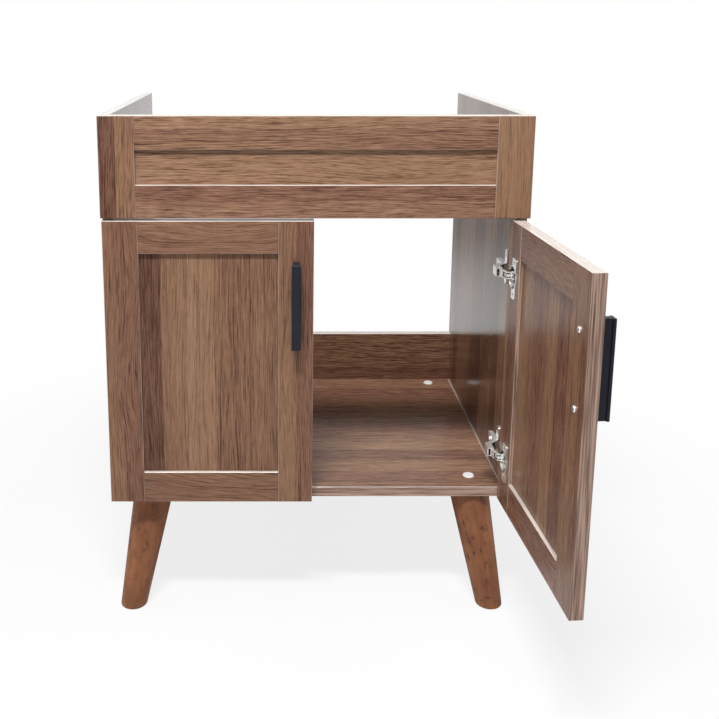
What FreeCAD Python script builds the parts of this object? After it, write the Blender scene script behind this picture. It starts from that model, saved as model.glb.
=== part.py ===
"""Free-standing vanity cabinet with a framed apron, two framed doors on concealed cup hinges and splayed legs.

Millimetres. +X is to the right of someone facing the doors, +Y goes back to the wall and +Z is up.
The origin is on the floor, in the middle of the carcass's width and depth.
"""
import FreeCAD
import Part
import math
import os

V = FreeCAD.Vector
UP = V(0, 0, 1)
BACKWARD = V(0, 1, 0)

# Carcass boards
cabinet_width = 600.0
carcass_depth = 455.0
carcass_height = 572.0
board = 15.0
back_rail_height = 93.0

# Apron and doors
front_board = 18.0
apron_height = 143.0
apron_to_door_gap = 3.5
door_side_reveal = 1.5
door_bottom_reveal = 1.0
gap_between_doors = 3.0
door_back_gap = 1.0
stile_width = 50.0
rail_width = 47.0
panel_thickness = 8.0
panel_recess = 5.0
groove_depth = 8.0
tongue_end_gap = 0.5
arris = 0.7

# Legs and their fixings
leg_height = 180.0
leg_top_radius = 30.0
leg_foot_radius = 19.6
leg_splay = 0.18
leg_foot_rounding = 2.5
leg_inset_side = 59.0
leg_inset_end = 36.0
leg_bolt_radius = 4.0
leg_bolt_length = 30.0
leg_bolt_head_radius = 6.5
leg_bolt_head_height = 4.5
leg_bolt_head_chamfer = 1.0
leg_bolt_socket_across = 5.0
leg_bolt_socket_depth = 2.5
leg_insert_radius = 6.0
leg_insert_length = 24.0
counterbore_radius = 7.2
counterbore_depth = 7.5
cap_radius = 8.5
cap_thickness = 2.0
cap_edge = 0.8
cap_plug_depth = 1.6
cap_slit_length = 6.0
cap_slit_width = 1.2
cap_slit_depth = 0.8

# Dowels and cam fittings between the boards
dowel_radius = 4.0
dowel_length = 30.0
dowel_in_side = 10.0
dowel_chamfer = 1.0
cam_radius = 7.5
cam_depth = 12.5
cam_distance = 34.0
cam_slot_width = 1.8
cam_slot_depth = 2.0
cam_bolt_radius = 3.5
cam_bolt_thread_radius = 2.5
cam_bolt_in_side = 11.0
cam_bolt_head_radius = 3.2
cam_bolt_head_length = 2.5
cam_bolt_neck_radius = 2.0
cam_bolt_neck_length = 5.0
fitting_inset = 75.0
fitting_pitch = 32.0

# Apron corner brackets
bracket_leg = 28.0
bracket_thickness = 2.5
bracket_height = 22.0
bracket_inset = 30.0
bracket_fillet = 4.0

# Wood screws, shared by brackets, hinge plates and cups
screw_radius = 2.0
screw_head_radius = 3.8
screw_head_height = 2.0
screw_cross_width = 1.0
screw_cross_depth = 1.0
screw_point = 3.0
bracket_screw_length = 12.0
plate_screw_length = 13.0
cup_screw_length = 13.0

# Pulls: an extruded profile with a front flange on a web
pull_length = 124.0
pull_width = 13.0
pull_projection = 22.0
pull_flange = 4.0
pull_web = 9.0
pull_edge = 1.2
pull_screw_spacing = 96.0
pull_centre_below_door_top = 120.5
pull_screw_radius = 2.0
pull_screw_head_radius = 4.2
pull_screw_head_height = 2.2
pull_screw_head_chamfer = 1.0
pull_screw_grip = 10.0

# Hinges: places in plan are (u, w), u inward from the side panel's inner face and w back from its front edge,
# with the door closed
hinge_below_door_top = 79.0
hinge_above_door_bottom = 69.0
outer_arm_pin = (18.0, 5.5)
outer_cup_pin = (-4.1, -5.2)
outer_elbow = (4.0, -8.5)
inner_arm_pin = (20.1, 18.1)
inner_cup_pin = (-6.2, -3.8)
inner_elbow = (-1.0, -8.5)
outer_link_ratio = -0.340
inner_link_ratio = -0.2763
left_door_rest_angle = 0.0
right_door_rest_angle = 93.0
hinge_pin_radius = 1.1
link_half_width = 1.8
link_eye_radius = 2.6
inner_cup_eye_radius = 3.0
inner_cup_eye_play = 0.9
inner_link_half_height = 1.9
sheet_thickness = 1.2
layer_gap = 0.3
cup_radius = 17.5
cup_depth = 11.5
cup_wall = 0.9
cup_edge_distance = 3.5
flange_length = 58.0
flange_width = 20.0
flange_thickness = 1.2
flange_corner = 5.0
flange_offset = 6.0
cup_screw_spacing = 45.0
cup_bore_clearance = 0.1
arm_tail_end = 64.0
arm_tail_low = 2.6
arm_web = 1.6
arm_nose_start = 30.0
mount_boss_height = 8.0
mount_boss_start = 26.0
mount_boss_end = 58.0
mount_screw_row = 37.0
mount_screw_spacing = 32.0
mount_wing_span = 52.0
mount_wing_width = 13.0
mount_wing_thickness = 2.4
arm_screw_radius = 2.5
arm_screw_head_radius = 3.6
arm_screw_head_height = 2.0
arm_screw_rows = (34.0, 50.0)
arm_screw_depth = 6.0

# Fits
fixed_fit = 0.05
running_fit = 0.05

# Levels and planes that follow from the sizes
half_width = cabinet_width / 2
inner_x = half_width - board
front_y = -carcass_depth / 2
back_y = carcass_depth / 2
bottom_z = leg_height
floor_top_z = bottom_z + board
top_z = bottom_z + carcass_height
apron_bottom_z = top_z - apron_height
door_top_z = apron_bottom_z - apron_to_door_gap
door_bottom_z = bottom_z + door_bottom_reveal
door_height = door_top_z - door_bottom_z
door_width = half_width - door_side_reveal - gap_between_doors / 2
door_back_y = front_y - door_back_gap
door_front_y = door_back_y - front_board
panel_back_recess = front_board - panel_recess - panel_thickness
hinge_levels = {"upper": door_top_z - hinge_below_door_top, "lower": door_bottom_z + hinge_above_door_bottom}
pull_centre_z = door_top_z - pull_centre_below_door_top
cup_u = cup_radius + cup_edge_distance - (board - door_side_reveal)

# Layers of a hinge, each a half height measured from its middle plane: the inner link lies between the cup's
# two tabs, those between the outer link's two sides, and those between the arm's two cheeks
tab_low = inner_link_half_height + layer_gap
tab_high = tab_low + sheet_thickness
side_low = tab_high + layer_gap
side_high = side_low + sheet_thickness
cheek_low = side_high + layer_gap
cheek_high = cheek_low + sheet_thickness

SIDES = {"left": -1, "right": 1}
REST_ANGLE = {"left": left_door_rest_angle, "right": right_door_rest_angle}


def box(x0, x1, y0, y1, z0, z1):
    """A box between two corners, given in either order along each axis."""
    low = V(min(x0, x1), min(y0, y1), min(z0, z1))
    return Part.makeBox(abs(x1 - x0), abs(y1 - y0), abs(z1 - z0), low)


def rod(radius, start, direction, length):
    """A round bar from a point along a direction."""
    return Part.makeCylinder(radius, length, start, direction)


def rounded_plate(length, width, corner):
    """A flat face in the XY plane, centred on the origin, with its corners rounded."""
    x = length / 2
    y = width / 2
    k = corner * (1 - math.sqrt(0.5))
    corners = []
    for sx, sy in ((1, 1), (-1, 1), (-1, -1), (1, -1)):
        first = V(sx * x, sy * (y - corner), 0)
        second = V(sx * (x - corner), sy * y, 0)
        middle = V(sx * (x - k), sy * (y - k), 0)
        if sx * sy > 0:
            corners.append((first, middle, second))
        else:
            corners.append((second, middle, first))
    edges = []
    for here, after in zip(corners, corners[1:] + corners[:1]):
        edges.append(Part.Arc(*here).toShape())
        edges.append(Part.LineSegment(here[2], after[0]).toShape())
    return Part.Face(Part.Wire(edges))


def capsule(start, end, radius, z0, z1):
    """A flat bar with round ends between two points in plan, from one level to another."""
    along = V(end.x - start.x, end.y - start.y, 0)
    along.normalize()
    across = V(-along.y, along.x, 0) * radius
    a = V(start.x, start.y, z0)
    b = V(end.x, end.y, z0)
    edges = [
        Part.LineSegment(a + across, b + across).toShape(),
        Part.Arc(b + across, b + along * radius, b - across).toShape(),
        Part.LineSegment(b - across, a - across).toShape(),
        Part.Arc(a - across, a - along * radius, a + across).toShape(),
    ]
    return Part.Face(Part.Wire(edges)).extrude(V(0, 0, z1 - z0))


def fuse(shapes):
    """Join overlapping solids into one and drop the seams between them."""
    first, *rest = shapes
    return first.multiFuse(rest).removeSplitter() if rest else first


def cut(shape, tools):
    """Take a list of solids out of one."""
    return shape.cut(Part.makeCompound(tools)) if tools else shape


def wood_screw(point, direction, length):
    """A countersunk screw whose head's face lies at a point, with a cross recess, driven along a direction."""
    head = Part.makeCone(screw_head_radius, screw_radius, screw_head_height, V(0, 0, 0), UP)
    shank = rod(screw_radius, V(0, 0, screw_head_height), UP, length - screw_head_height - screw_point)
    tip = Part.makeCone(screw_radius, screw_radius / 4, screw_point, V(0, 0, length - screw_point), UP)
    reach = screw_head_radius * 0.6
    half = screw_cross_width / 2
    recess = [
        box(-reach, reach, -half, half, 0, screw_cross_depth),
        box(-half, half, -reach, reach, 0, screw_cross_depth),
    ]
    screw = cut(fuse([head, shank, tip]), recess)
    screw.Placement = FreeCAD.Placement(point, FreeCAD.Rotation(UP, direction))
    return screw


def screw_hole(point, direction, length):
    """The countersunk hole that a wood screw fills."""
    head = Part.makeCone(screw_head_radius + fixed_fit, screw_radius + fixed_fit, screw_head_height, V(0, 0, 0), UP)
    shank = rod(screw_radius + fixed_fit, V(0, 0, 0), UP, length + fixed_fit)
    hole = fuse([head, shank])
    hole.Placement = FreeCAD.Placement(point, FreeCAD.Rotation(UP, direction))
    return hole


def leg_places():
    """Each leg's name and the plan place of its top's centre, with the way that it splays."""
    x = half_width - leg_inset_side
    y = carcass_depth / 2 - leg_inset_end
    for end, sy in (("front", -1), ("rear", 1)):
        for side, sx in SIDES.items():
            yield f"{end}_{side}_leg", V(sx * x, sy * y, 0), sx, sy


def board_fittings():
    """Where boards meet the sides: centre of each joint row's fitting, its side and which way its cam faces.

    The bottom panel has a cam and a dowel near the front and near the back, and the back rail has one of each.
    """
    bottom_mid = bottom_z + board / 2
    rail_mid_y = back_y - board / 2
    rail_mid_z = floor_top_z + back_rail_height / 2
    for sx in SIDES.values():
        for sy in (-1, 1):
            cam_y = sy * (carcass_depth / 2 - fitting_inset)
            yield sx, V(0, cam_y, bottom_mid), V(0, cam_y - sy * fitting_pitch, bottom_mid), V(0, 0, -1)
        yield (sx, V(0, rail_mid_y, rail_mid_z + fitting_pitch / 2),
               V(0, rail_mid_y, rail_mid_z - fitting_pitch / 2), BACKWARD)


def dowel_solid(sx, place, clearance):
    """A dowel, or the hole for one, across the joint between a side panel and a board's end."""
    start = V(sx * (inner_x + dowel_in_side), place.y, place.z)
    length = dowel_length + clearance
    pin = rod(dowel_radius + clearance, start + V(sx * clearance, 0, 0), V(-sx, 0, 0), length + clearance)
    return pin


def dowels():
    solids = []
    for sx, _, place, _ in board_fittings():
        pin = dowel_solid(sx, place, 0.0)
        solids.append(pin.makeChamfer(dowel_chamfer, [e for e in pin.Edges if e.Closed]))
    return Part.makeCompound(solids)


def cam_centre(sx, place):
    return V(sx * (inner_x - cam_distance), place.y, place.z)


def cam_pocket(sx, place, facing, clearance):
    """A cam's round body, or its pocket, open on the face that the cam is turned from."""
    mouth = cam_centre(sx, place) + facing * (board / 2)
    return rod(cam_radius + clearance, mouth, facing * -1, cam_depth + clearance)


def cam_bolt_bore(sx, place):
    """The bore along a board from its end to its cam, and the blind hole in the side panel."""
    radius = cam_bolt_radius + fixed_fit
    along = rod(radius, V(sx * inner_x, place.y, place.z), V(-sx, 0, 0), cam_distance)
    blind = rod(cam_bolt_thread_radius + fixed_fit, V(sx * inner_x, place.y, place.z), V(sx, 0, 0),
                cam_bolt_in_side + fixed_fit)
    return along, blind


def cam_bolts():
    """Bolts screwed into the sides, each with a neck and a head that its cam grips."""
    solids = []
    for sx, place, _, _ in board_fittings():
        face = V(sx * inner_x, place.y, place.z)
        inward = V(-sx, 0, 0)
        thread = rod(cam_bolt_thread_radius, face, V(sx, 0, 0), cam_bolt_in_side)
        shank_length = cam_distance - cam_bolt_neck_length - cam_radius / 2
        shank = rod(cam_bolt_radius, face, inward, shank_length)
        neck = rod(cam_bolt_neck_radius, face + inward * shank_length, inward, cam_bolt_neck_length)
        head = rod(cam_bolt_head_radius, face + inward * (shank_length + cam_bolt_neck_length), inward,
                   cam_bolt_head_length)
        solids.append(fuse([thread, shank, neck, head]))
    return Part.makeCompound(solids)


def cam_locks():
    """Round cams with a driver slot in the face and a slot in the side that takes the bolt's head."""
    solids = []
    for sx, place, _, facing in board_fittings():
        centre = cam_centre(sx, place)
        body = cam_pocket(sx, place, facing, 0.0)
        mouth = centre + facing * (board / 2)
        across = facing.cross(V(1, 0, 0))
        slot = box(-cam_radius, cam_radius, -cam_slot_width / 2, cam_slot_width / 2, 0, cam_slot_depth)
        slot.Placement = FreeCAD.Placement(mouth, FreeCAD.Rotation(V(1, 0, 0), across, facing * -1, "ZXY"))
        gate = rod(cam_bolt_radius + fixed_fit, centre - V(sx * cam_bolt_head_radius, 0, 0), V(sx, 0, 0), 2 * cam_radius)
        solids.append(cut(body, [slot, gate]))
    return Part.makeCompound(solids)


def bracket_places():
    """Corner of each apron bracket, where a side panel meets the apron, and the side it is on."""
    for sx in SIDES.values():
        for z in (top_z - bracket_inset, apron_bottom_z + bracket_inset):
            yield sx, V(sx * inner_x, front_y, z)


def bracket_screws_at(sx, corner):
    """Head place and direction of a bracket's two screws: one into the side and one into the apron."""
    half = bracket_leg * 0.6
    yield corner + V(-sx * bracket_thickness, half, 0), V(sx, 0, 0)
    yield corner + V(-sx * half, bracket_thickness, 0), V(0, -1, 0)


def apron_brackets():
    solids = []
    for sx, corner in bracket_places():
        z0 = corner.z - bracket_height / 2
        z1 = corner.z + bracket_height / 2
        inward = -sx
        outline = [
            V(0, 0, 0),
            V(inward * bracket_leg, 0, 0),
            V(inward * bracket_leg, bracket_thickness, 0),
            V(inward * bracket_thickness, bracket_thickness, 0),
            V(inward * bracket_thickness, bracket_leg, 0),
            V(0, bracket_leg, 0),
            V(0, 0, 0),
        ]
        wire = Part.makePolygon([corner + p + V(0, 0, -bracket_height / 2) for p in outline])
        angle = Part.Face(wire).extrude(V(0, 0, z1 - z0))
        inner = [e for e in angle.Edges if e.BoundBox.ZLength > bracket_height / 2
                 and abs(e.Vertexes[0].X - corner.x - inward * bracket_thickness) < 0.01
                 and abs(e.Vertexes[0].Y - corner.y - bracket_thickness) < 0.01]
        angle = angle.makeFillet(bracket_fillet, inner)
        holes = [screw_hole(p, d, bracket_screw_length) for p, d in bracket_screws_at(sx, corner)]
        solids.append(cut(angle, holes))
    return Part.makeCompound(solids)


def bracket_screws():
    solids = []
    for sx, corner in bracket_places():
        solids += [wood_screw(p, d, bracket_screw_length) for p, d in bracket_screws_at(sx, corner)]
    return Part.makeCompound(solids)


def bracket_holes():
    """The pilot holes that the bracket screws make in the sides and in the apron."""
    return [screw_hole(p, d, bracket_screw_length)
            for sx, corner in bracket_places() for p, d in bracket_screws_at(sx, corner)]


def in_plan(sx, place, z):
    """A hinge's plan place (u, w) as a point, mirrored for the left side."""
    u, w = place
    return V(sx * (inner_x - u), front_y + w, z)


def plate_screws_at(sx, z):
    """Head place of a mounting plate's two screws, which go square into the side panel."""
    for sz in (-1, 1):
        yield in_plan(sx, (mount_wing_thickness, mount_screw_row), z + sz * mount_screw_spacing / 2)


def side_panel(sx):
    """A plain side board with blind holes for its fittings, brackets and hinge plates."""
    panel = box(sx * inner_x, sx * half_width, front_y, back_y, bottom_z, top_z)
    holes = []
    for side, cam_place, dowel_place, _ in board_fittings():
        if side == sx:
            holes.append(cam_bolt_bore(sx, cam_place)[1])
            holes.append(dowel_solid(sx, dowel_place, fixed_fit))
    for side, corner in bracket_places():
        if side == sx:
            point, direction = next(bracket_screws_at(sx, corner))
            holes.append(screw_hole(point, direction, bracket_screw_length))
    for z in hinge_levels.values():
        for point in plate_screws_at(sx, z):
            holes.append(screw_hole(point, V(sx, 0, 0), plate_screw_length))
    return cut(panel, holes)


def eased_top(shape, z):
    """Take the sharp arris off a board's long top edges."""
    long_edges = [e for e in shape.Edges if e.BoundBox.ZLength < 0.01 and abs(e.CenterOfMass.z - z) < 0.01
                  and e.Length > 2 * board]
    return shape.makeChamfer(arris, long_edges)


def bottom_panel():
    """The board between the sides, bored for cams and dowels in its ends and for the leg bolts."""
    panel = eased_top(box(-inner_x, inner_x, front_y, back_y, bottom_z, floor_top_z), floor_top_z)
    holes = []
    for sx, cam_place, dowel_place, facing in board_fittings():
        if facing.z:
            holes.append(cam_bolt_bore(sx, cam_place)[0])
            holes.append(cam_pocket(sx, cam_place, facing, fixed_fit))
            holes.append(dowel_solid(sx, dowel_place, fixed_fit))
    for _, place, _, _ in leg_places():
        holes.append(rod(leg_bolt_radius + fixed_fit, V(place.x, place.y, bottom_z), UP, board))
        holes.append(rod(counterbore_radius, V(place.x, place.y, floor_top_z), UP * -1, counterbore_depth))
    return cut(panel, holes)


def back_rail():
    """The low board that ties the sides together at the back."""
    rail_top = floor_top_z + back_rail_height
    rail = eased_top(box(-inner_x, inner_x, back_y - board, back_y, floor_top_z, rail_top), rail_top)
    holes = []
    for sx, cam_place, dowel_place, facing in board_fittings():
        if facing.y:
            holes.append(cam_bolt_bore(sx, cam_place)[0])
            holes.append(cam_pocket(sx, cam_place, facing, fixed_fit))
            holes.append(dowel_solid(sx, dowel_place, fixed_fit))
    return cut(rail, holes)


def leg(place, sx, sy):
    """A round tapered leg that splays outwards both ways, cut level at the panel and at the floor."""
    drop = V(sx * leg_splay, sy * leg_splay, -1)
    axis = V(drop)
    axis.normalize()
    slope = drop.Length
    taper = (leg_top_radius - leg_foot_radius) / leg_height
    spare = leg_top_radius
    top = V(place.x, place.y, leg_height) - drop * spare
    cone = Part.makeCone(leg_top_radius + taper * spare, leg_foot_radius - taper * spare,
                         (leg_height + 2 * spare) * slope, top, axis)
    reach = leg_top_radius + leg_height
    slab = box(place.x - reach, place.x + reach, place.y - reach, place.y + reach, 0, leg_height)
    shaped = cone.common(slab)
    foot = [e for e in shaped.Edges if e.Closed and e.CenterOfMass.z < leg_foot_rounding / 2]
    shaped = shaped.makeFillet(leg_foot_rounding, foot)
    centre = V(place.x, place.y, leg_height)
    insert = rod(leg_insert_radius + fixed_fit, centre, UP * -1, leg_insert_length + fixed_fit)
    clearance = rod(leg_bolt_radius + fixed_fit, centre, UP * -1, leg_bolt_length)
    return cut(shaped, [insert, clearance])


def leg_inserts():
    """Threaded sleeves in the tops of the legs."""
    solids = []
    for _, place, _, _ in leg_places():
        centre = V(place.x, place.y, leg_height)
        sleeve = rod(leg_insert_radius, centre, UP * -1, leg_insert_length)
        solids.append(cut(sleeve, [rod(leg_bolt_radius + fixed_fit, centre, UP * -1, leg_insert_length)]))
    return Part.makeCompound(solids)


def leg_bolts():
    """Bolts with a round head and a hexagon socket, down through the bottom panel into the legs."""
    solids = []
    seat = floor_top_z - counterbore_depth
    for _, place, _, _ in leg_places():
        shank = rod(leg_bolt_radius, V(place.x, place.y, seat), UP * -1, leg_bolt_length)
        head = rod(leg_bolt_head_radius, V(place.x, place.y, seat), UP, leg_bolt_head_height)
        rim = [e for e in head.Edges if e.Closed and e.CenterOfMass.z > seat + leg_bolt_head_height / 2]
        head = head.makeChamfer(leg_bolt_head_chamfer, rim)
        corners = []
        for k in range(7):
            angle = math.radians(60 * k)
            corner = V(math.cos(angle), math.sin(angle), 0) * (leg_bolt_socket_across / math.sqrt(3))
            corners.append(corner + V(place.x, place.y, seat + leg_bolt_head_height - leg_bolt_socket_depth))
        socket = Part.Face(Part.makePolygon(corners)).extrude(UP * leg_bolt_head_height)
        solids.append(cut(fuse([shank, head]), [socket]))
    return Part.makeCompound(solids)


def leg_bolt_caps():
    """Round caps that plug the counterbores, each with a slit to lift it by."""
    solids = []
    for _, place, _, _ in leg_places():
        base = V(place.x, place.y, floor_top_z)
        disc = rod(cap_radius, base, UP, cap_thickness)
        rim = [e for e in disc.Edges if e.Closed and e.CenterOfMass.z > floor_top_z + cap_thickness / 2]
        disc = disc.makeChamfer(cap_edge, rim)
        plug = rod(counterbore_radius - fixed_fit, base, UP * -1, cap_plug_depth)
        top = floor_top_z + cap_thickness
        slit = box(place.x - cap_slit_length / 2, place.x + cap_slit_length / 2, place.y - cap_slit_width / 2,
                   place.y + cap_slit_width / 2, top - cap_slit_depth, top)
        solids.append(cut(fuse([disc, plug]), [slit]))
    return Part.makeCompound(solids)


def groove(x0, x1, z0, z1, y_front):
    """A slot cut for the panel's edge and the rails' tongues."""
    y0 = y_front + panel_recess - fixed_fit
    return box(x0, x1, y0, y0 + panel_thickness + 2 * fixed_fit, z0, z1)


def framed_front(x0, x1, z0, z1, y_front):
    """A frame of two stiles and two rails round a thin panel, all held by a groove and tongues.

    The stiles run the full height, and the arrises round the panel and at the joints are eased on both faces.
    Returns the left and right stile, the top and bottom rail and the panel.
    """
    y_back = y_front + front_board
    y_tongue = y_front + panel_recess
    inner0 = x0 + stile_width
    inner1 = x1 - stile_width
    faces = (y_front, y_back)
    left = cut(box(x0, inner0, y_front, y_back, z0, z1), [groove(inner0 - groove_depth, inner0, z0, z1, y_front)])
    left = eased(left, faces, [("x", inner0)])
    right = cut(box(inner1, x1, y_front, y_back, z0, z1), [groove(inner1, inner1 + groove_depth, z0, z1, y_front)])
    right = eased(right, faces, [("x", inner1)])
    reach = groove_depth - tongue_end_gap
    rails = []
    for low, high, inner_z, slot_low, slot_high in (
            (z1 - rail_width, z1, z1 - rail_width, z1 - rail_width, z1 - rail_width + groove_depth),
            (z0, z0 + rail_width, z0 + rail_width, z0 + rail_width - groove_depth, z0 + rail_width)):
        body = box(inner0, inner1, y_front, y_back, low, high)
        tongue = box(inner0 - reach, inner1 + reach, y_tongue, y_tongue + panel_thickness, low, high)
        slot = groove(inner0 - groove_depth, inner1 + groove_depth, slot_low, slot_high, y_front)
        rail = cut(fuse([body, tongue]), [slot])
        rails.append(eased(rail, faces, [("x", inner0), ("x", inner1), ("z", inner_z)]))
    panel = box(inner0 - reach, inner1 + reach, y_tongue, y_tongue + panel_thickness,
                z0 + rail_width - reach, z1 - rail_width + reach)
    return left, right, rails[0], rails[1], panel


def eased(shape, faces, edges_at):
    """Take the sharp arris off edges on a front piece's faces at these Y places, at the X or Z places in edges_at."""
    chosen = []
    for edge in shape.Edges:
        middle = edge.CenterOfMass
        on_face = edge.BoundBox.YLength < 0.01 and any(abs(middle.y - y) < 0.01 for y in faces)
        if on_face and any(abs(getattr(middle, axis) - value) < 0.01 for axis, value in edges_at):
            chosen.append(edge)
    return shape.makeChamfer(arris, chosen)


def apron_nodes():
    """The apron across the top of the front, with the holes that its brackets' screws make."""
    y_front = front_y - front_board
    left, right, top, bottom, panel = framed_front(-half_width, half_width, apron_bottom_z, top_z, y_front)
    holes = bracket_holes()
    ends = [("z", apron_bottom_z), ("z", top_z)]
    left = eased(left, [y_front], [("x", -half_width)] + ends)
    right = eased(right, [y_front], [("x", half_width)] + ends)
    return {
        "apron_left_stile": cut(left, holes),
        "apron_right_stile": cut(right, holes),
        "apron_top_rail": eased(top, [y_front], [("z", top_z)]),
        "apron_bottom_rail": eased(bottom, [y_front], [("z", apron_bottom_z)]),
        "apron_panel": panel,
    }


def door_edges(sx):
    """A closed door's hinge edge and free edge along X."""
    hinge_edge = sx * (half_width - door_side_reveal)
    free_edge = sx * gap_between_doors / 2
    return hinge_edge, free_edge


def pull_x(sx):
    return sx * (gap_between_doors / 2 + stile_width / 2)


def pull_screw_levels():
    return pull_centre_z - pull_screw_spacing / 2, pull_centre_z + pull_screw_spacing / 2


def cup_screws_at(sx, z):
    """Head place of a cup's two screws, through the flange's ears into the door."""
    for sz in (-1, 1):
        head = in_plan(sx, (cup_u + flange_offset, flange_thickness - door_back_gap), z + sz * cup_screw_spacing / 2)
        yield head


def cup_bore(sx, z):
    """The round blind bore in the hinge stile that a cup sits in."""
    mouth = in_plan(sx, (cup_u, -door_back_gap), z)
    return rod(cup_radius + cup_bore_clearance, mouth, V(0, -1, 0), cup_depth + cup_bore_clearance)


def door_nodes(side):
    """A closed door's frame and panel, bored for its cups and its pull."""
    sx = SIDES[side]
    hinge_edge, free_edge = door_edges(sx)
    low, high = sorted((hinge_edge, free_edge))
    left, right, top, bottom, panel = framed_front(low, high, door_bottom_z, door_top_z, door_front_y)
    hinge_stile, pull_stile = (left, right) if sx < 0 else (right, left)
    bores = []
    for z in hinge_levels.values():
        bores.append(cup_bore(sx, z))
        bores += [screw_hole(p, V(0, -1, 0), cup_screw_length) for p in cup_screws_at(sx, z)]
    pull_holes = [rod(pull_screw_radius + fixed_fit, V(pull_x(sx), door_front_y, z), BACKWARD, front_board)
                  for z in pull_screw_levels()]
    ends = [("z", door_bottom_z), ("z", door_top_z)]
    hinge_stile = eased(hinge_stile, [door_front_y], [("x", hinge_edge)] + ends)
    pull_stile = eased(pull_stile, [door_front_y], [("x", free_edge)] + ends)
    return {
        f"{side}_door_hinge_stile": cut(hinge_stile, bores),
        f"{side}_door_pull_stile": cut(pull_stile, pull_holes),
        f"{side}_door_top_rail": eased(top, [door_front_y], [("z", door_top_z)]),
        f"{side}_door_bottom_rail": eased(bottom, [door_front_y], [("z", door_bottom_z)]),
        f"{side}_door_panel": panel,
    }


def pull(side):
    """A straight pull cut from an extruded profile: a flat flange on a web that meets the door."""
    sx = SIDES[side]
    x = pull_x(sx)
    half_web = pull_web / 2
    half_flange = pull_width / 2
    y_flange = door_front_y - pull_projection + pull_flange
    y_out = door_front_y - pull_projection
    outline = [
        V(x - half_web, door_front_y, 0),
        V(x - half_web, y_flange, 0),
        V(x - half_flange, y_flange, 0),
        V(x - half_flange, y_out, 0),
        V(x + half_flange, y_out, 0),
        V(x + half_flange, y_flange, 0),
        V(x + half_web, y_flange, 0),
        V(x + half_web, door_front_y, 0),
        V(x - half_web, door_front_y, 0),
    ]
    z0 = pull_centre_z - pull_length / 2
    profile = Part.Face(Part.makePolygon([p + V(0, 0, z0) for p in outline]))
    bar = profile.extrude(UP * pull_length)
    outer_edges = [e for e in bar.Edges if e.BoundBox.YLength < 0.01 and abs(e.CenterOfMass.y - y_out) < 0.01]
    bar = bar.makeFillet(pull_edge, outer_edges)
    holes = [rod(pull_screw_radius + fixed_fit, V(x, door_front_y, z), V(0, -1, 0), pull_screw_grip + fixed_fit)
             for z in pull_screw_levels()]
    return cut(bar, holes)


def pull_screws(side):
    """Two screws from inside the door into the pull, with low round heads."""
    sx = SIDES[side]
    solids = []
    for z in pull_screw_levels():
        seat = V(pull_x(sx), door_back_y, z)
        shank = rod(pull_screw_radius, seat, V(0, -1, 0), front_board + pull_screw_grip)
        head = rod(pull_screw_head_radius, seat, BACKWARD, pull_screw_head_height)
        rim = [e for e in head.Edges if e.Closed and e.CenterOfMass.y > seat.y + pull_screw_head_height / 2]
        head = head.makeChamfer(pull_screw_head_chamfer, rim)
        reach = pull_screw_head_radius / 2
        half = screw_cross_width / 2
        y0 = seat.y + pull_screw_head_height - screw_cross_depth
        y1 = seat.y + pull_screw_head_height
        recess = [
            box(seat.x - reach, seat.x + reach, y0, y1, z - half, z + half),
            box(seat.x - half, seat.x + half, y0, y1, z - reach, z + reach),
        ]
        solids.append(cut(fuse([shank, head]), recess))
    return Part.makeCompound(solids)


def hinge_cup(side, z):
    """The sunk cup with its flange and the tabs that carry the link pins, open towards the door's edge."""
    sx = SIDES[side]
    mouth = in_plan(sx, (cup_u, -door_back_gap), z)
    into_door = V(0, -1, 0)
    shell = rod(cup_radius, mouth, into_door, cup_depth)
    hollow = rod(cup_radius - cup_wall, mouth, into_door, cup_depth - cup_wall)
    flange_face = rounded_plate(flange_length, flange_width, flange_corner)
    flange = flange_face.extrude(UP * flange_thickness)
    flange.Placement = FreeCAD.Placement(in_plan(sx, (cup_u + flange_offset, -door_back_gap), z),
                                         FreeCAD.Rotation(UP, V(1, 0, 0), BACKWARD, "ZXY"))
    rim = rod(cup_radius + flange_thickness, mouth, BACKWARD, flange_thickness)
    # the edge-side half of the rim stays level with the door, so that the closed hinge clears the side panel
    trim = box(sx * (inner_x - cup_u), sx * half_width, mouth.y, mouth.y + flange_thickness,
               z - flange_length, z + flange_length)
    opening = rod(cup_radius - cup_wall, mouth, BACKWARD, flange_thickness)
    body = cut(fuse([shell, flange, rim]), [hollow, opening, trim])
    gate = box(sx * (inner_x - cup_u), sx * half_width, mouth.y - cup_depth + cup_wall, mouth.y + flange_thickness,
               z - cheek_high - layer_gap, z + cheek_high + layer_gap)
    body = cut(body, [gate])
    floor_y = mouth.y - cup_depth
    tabs = []
    for place, low, high in ((outer_cup_pin, cheek_low, cheek_high), (inner_cup_pin, tab_low, tab_high)):
        pin = in_plan(sx, place, z)
        for sz in (-1, 1):
            z0 = z + sz * low
            z1 = z + sz * high
            post = box(pin.x - link_eye_radius, pin.x + link_eye_radius, floor_y, pin.y, z0, z1)
            head = rod(link_eye_radius, V(pin.x, pin.y, min(z0, z1)), UP, sheet_thickness)
            tabs += [post, head]
    whole = rod(cup_radius, mouth + BACKWARD * flange_thickness, into_door, cup_depth + flange_thickness)
    tabs = [t.common(whole) for t in tabs]
    body = fuse([body] + tabs)
    holes = [screw_hole(p, into_door, cup_screw_length) for p in cup_screws_at(sx, z)]
    for place, reach in ((outer_cup_pin, cheek_high), (inner_cup_pin, tab_high)):
        pin = in_plan(sx, place, z - reach)
        holes.append(rod(hinge_pin_radius + fixed_fit, pin, UP, 2 * reach))
    return cut(body, holes)


def stub_pins(sx, place, z, low, high):
    """Two short pins on one axis, above and below a hinge's middle plane."""
    return [rod(hinge_pin_radius, in_plan(sx, place, z + low), UP, high - low),
            rod(hinge_pin_radius, in_plan(sx, place, z - high), UP, high - low)]


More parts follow.
